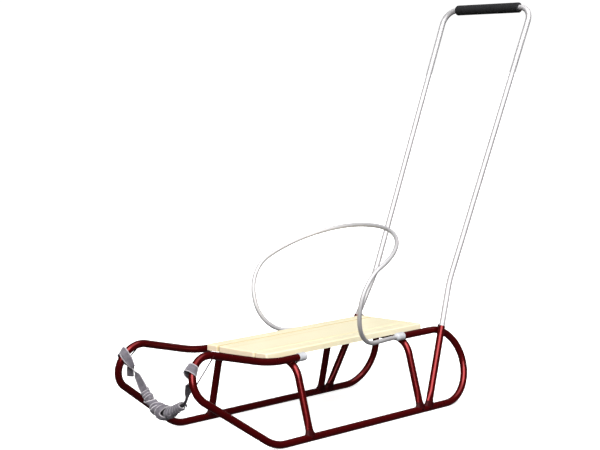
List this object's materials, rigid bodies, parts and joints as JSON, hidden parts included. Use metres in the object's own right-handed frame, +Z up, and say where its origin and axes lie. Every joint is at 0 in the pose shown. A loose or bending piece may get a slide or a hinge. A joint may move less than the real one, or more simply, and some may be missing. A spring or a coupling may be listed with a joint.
{
  "type": "child sled",
  "caption": "Steel tube child's sled with wooden slat seat, bent backrest bow, rear push handle with foam grip and a webbing pull strap.",
  "frame": {"origin": "on the ground, halfway along the whole sled and its handle, midway between the runners", "axes": "+X forward to the nose, +Y to the sled's left, +Z up"},
  "size_m": [1.2413, 0.4098, 1.031],
  "materials": {
    "frame_paint": "dark red gloss enamel",
    "bare_alloy": "drawn, satin",
    "bright_wire": "grey lacquered wire",
    "seat_wood": "clear varnished pale pine",
    "plug_plastic": "moulded",
    "grip_foam": "closed-cell foam",
    "strap_webbing": "woven webbing"
  },
  "bodies": {
    "root": {"left_nose_tube": "frame_paint", "right_nose_tube": "frame_paint", "left_runner": "frame_paint", "right_runner": "frame_paint", "left_lower_rear_loop": "frame_paint", "right_lower_rear_loop": "frame_paint", "left_upper_rear_loop": "frame_paint", "right_upper_rear_loop": "frame_paint", "left_rear_rail": "frame_paint", "right_rear_rail": "frame_paint", "front_arch": "frame_paint", "rear_arch": "frame_paint", "left_eye_rod": "bright_wire", "right_eye_rod": "bright_wire", "left_handle_socket": "frame_paint", "right_handle_socket": "frame_paint", "push_handle": "bare_alloy", "handle_grip": "grip_foam", "backrest_bow": "bare_alloy", "left_bow_collar": "plug_plastic", "right_bow_collar": "plug_plastic", "left_rail_cap": "plug_plastic", "right_rail_cap": "plug_plastic", "left_seat_slat": "seat_wood", "middle_seat_slat": "seat_wood", "right_seat_slat": "seat_wood", "left_strap_sleeve": "strap_webbing", "right_strap_sleeve": "strap_webbing", "left_strap_run": "strap_webbing", "right_strap_run": "strap_webbing", "strap_bundle": "strap_webbing"}
  },
  "joints": []
}
